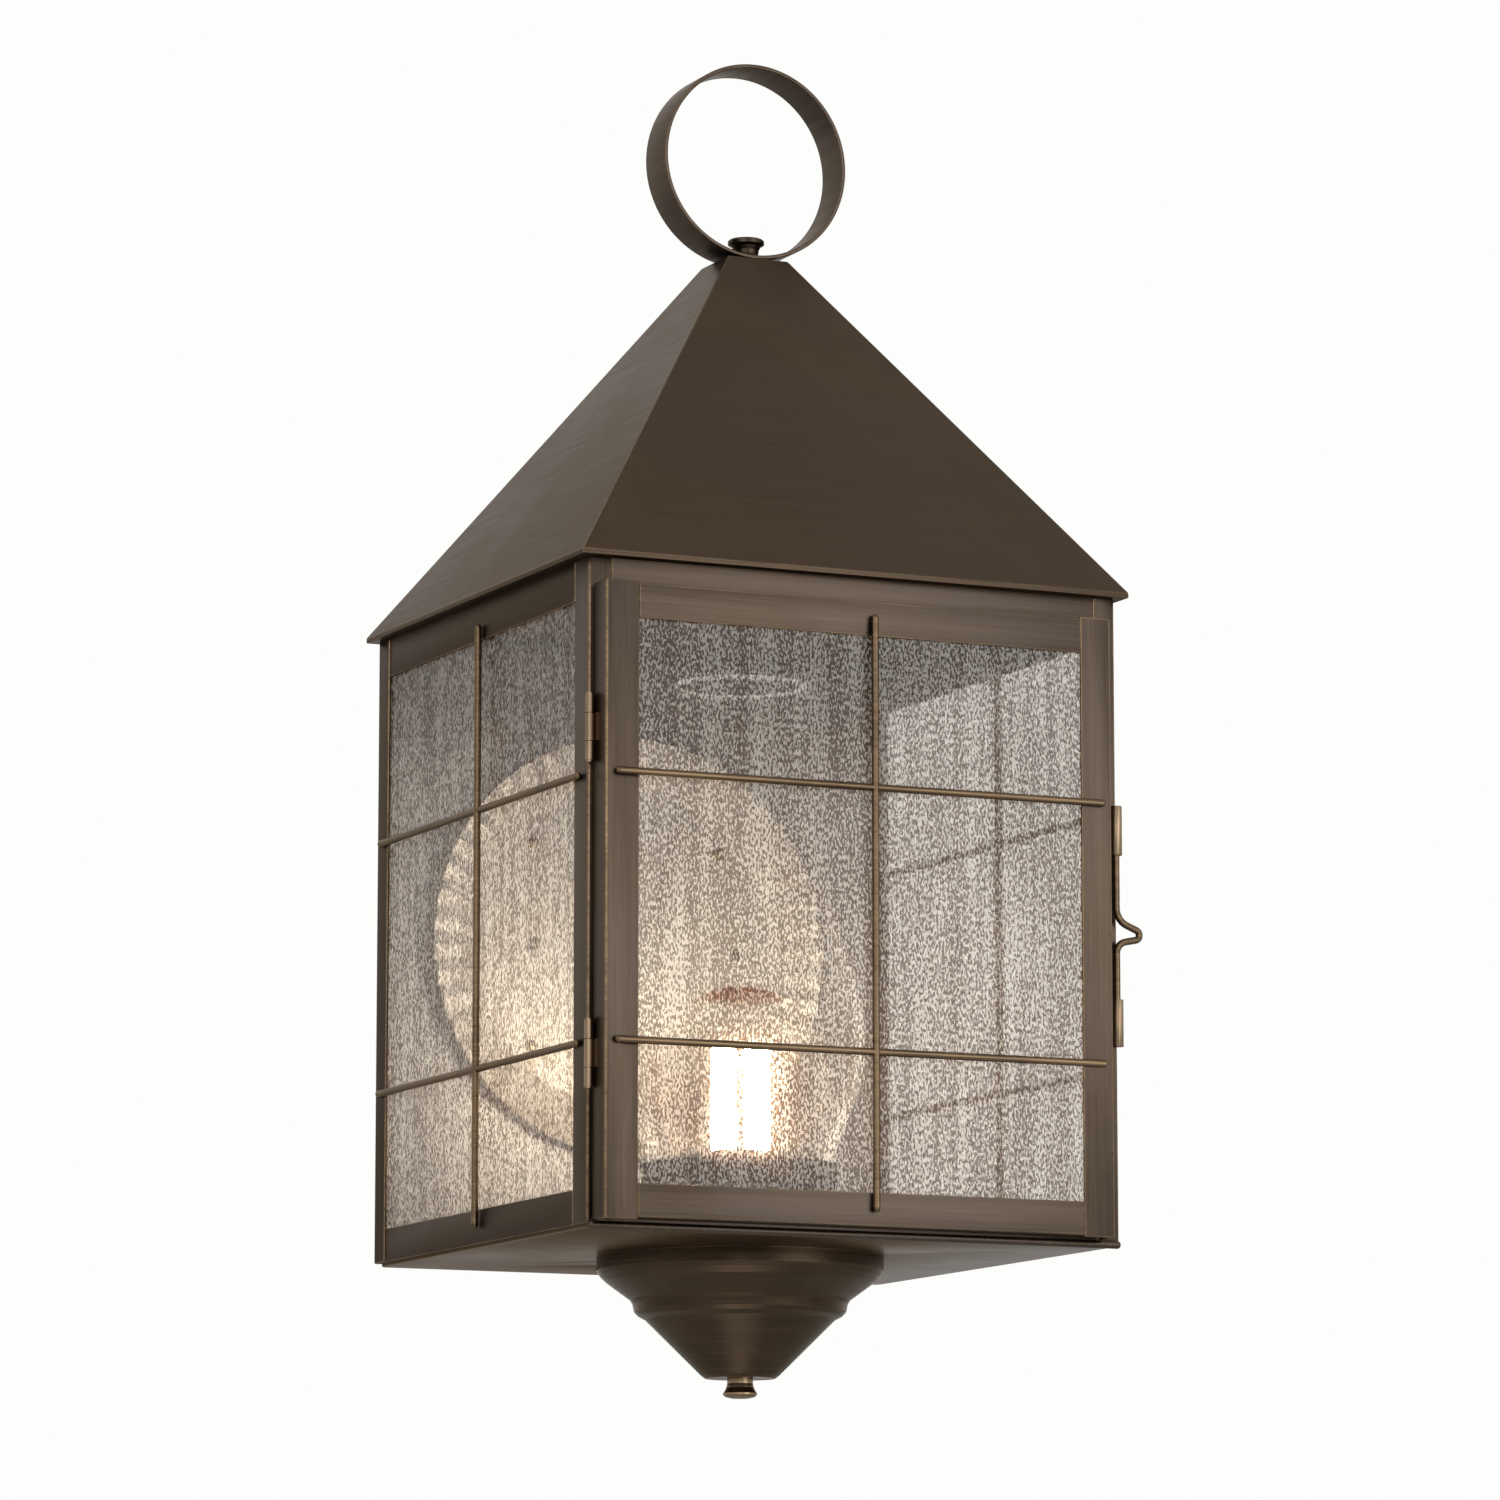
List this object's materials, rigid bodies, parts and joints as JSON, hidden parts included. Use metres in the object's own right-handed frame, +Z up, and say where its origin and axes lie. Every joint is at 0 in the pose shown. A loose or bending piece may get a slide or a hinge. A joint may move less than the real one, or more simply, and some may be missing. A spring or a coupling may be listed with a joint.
{
  "type": "outdoor wall lantern",
  "caption": "Square glazed wall lantern with a hinged door, wire muntins, pyramid roof, strap ring on top, cupped foot, and a screw-base lamp in a glass chimney.",
  "frame": {"origin": "centre of the two wall screws on the wall plate's flat back, in the plane of the wall", "axes": "+Y into the wall, +Z up, +X to the right as seen from the front of the lantern"},
  "size_m": [0.2339, 0.2315, 0.5251],
  "materials": {
    "plate_metal": "satin dark bronze paint",
    "panel_metal": "satin bronze, dull inside",
    "bronze": "brushed antique bronze, lacquered, with worn bright edges",
    "bronze_worn": "antique bronze, a little more worn and shiny",
    "roof": "dark antique bronze with a soft sheen",
    "wire": "drawn antique bronze wire, satin",
    "hardware": "plain brass, satin",
    "brass": "warm brass, satin",
    "reflector": "fluted, polished and a little dull",
    "rubber": "matt black",
    "ceramic": "glazed white ceramic",
    "dark_plastic": "matt black moulded ring",
    "nickel": "nickel-plated screw base",
    "ground_green": "green grounding screw",
    "seeded_glass": "seeded glass, full of fine bubbles",
    "clear_glass": "clear, thin and smooth",
    "bulb_glass": "clear bulb glass",
    "glow": "glowing warm white"
  },
  "bodies": {
    "lantern": {"wall_plate": "plate_metal", "wall_screw_spacers": "hardware", "wire_entry_grommet": "rubber", "back_panel": "panel_metal", "lead_grommets": "rubber", "reflector": "reflector", "reflector_rivets": "hardware", "front_left_post": "bronze", "front_right_post": "bronze", "rear_left_post": "bronze", "rear_right_post": "bronze", "header_rail": "bronze", "front_sill": "bronze", "left_top_rail": "bronze", "left_bottom_rail": "bronze", "right_top_rail": "bronze", "right_bottom_rail": "bronze", "bottom_pan": "panel_metal", "roof_shell": "roof", "ring_washer": "bronze_worn", "hanging_ring": "bronze_worn", "ring_knob": "bronze_worn", "ring_stud": "hardware", "ring_nut": "hardware", "left_glass": "seeded_glass", "right_glass": "seeded_glass", "left_glass_clips": "hardware", "right_glass_clips": "hardware", "left_muntins": "wire", "right_muntins": "wire", "hinge_post_leaves": "bronze_worn", "hinge_pins": "hardware", "latch_sleeves": "bronze_worn", "bottom_cup": "bronze", "bottom_knob": "bronze_worn", "lamp_rod": "hardware", "rod_washer": "hardware", "rod_nut": "hardware", "socket_cap": "brass", "socket_body": "ceramic", "socket_liner": "brass", "socket_contact": "brass", "shade_ring": "dark_plastic", "chimney_gallery": "brass", "ground_screw": "ground_green"},
    "door": {"door_left_stile": "bronze", "door_right_stile": "bronze", "door_top_rail": "bronze", "door_bottom_rail": "bronze", "door_glass": "seeded_glass", "door_glass_clips": "hardware", "door_muntins": "wire", "hinge_door_leaves": "bronze_worn"},
    "latch": {"latch_wire": "wire"},
    "chimney": {"chimney_glass": "clear_glass"},
    "bulb": {"bulb_base": "nickel", "bulb_glass": "bulb_glass", "bulb_core": "glow"}
  },
  "joints": [
    {"name": "door_hinge", "type": "hinge", "parent": "lantern", "child": "door", "pos_m": [-0.1103, -0.218, 0], "axis": [0, 0, -1], "range_deg": [0, 120]},
    {"name": "latch_turn", "type": "hinge", "parent": "lantern", "child": "latch", "pos_m": [0.1085, -0.21845, 0], "axis": [0, 0, -1], "range_deg": [0, 120]},
    {"name": "chimney_lift", "type": "slide", "parent": "lantern", "child": "chimney", "axis": [0, 0, 1], "range_m": [0, 0.02]},
    {"name": "bulb_out", "type": "slide", "parent": "lantern", "child": "bulb", "axis": [0, 0, 1], "range_m": [0, 0.026]}
  ]
}
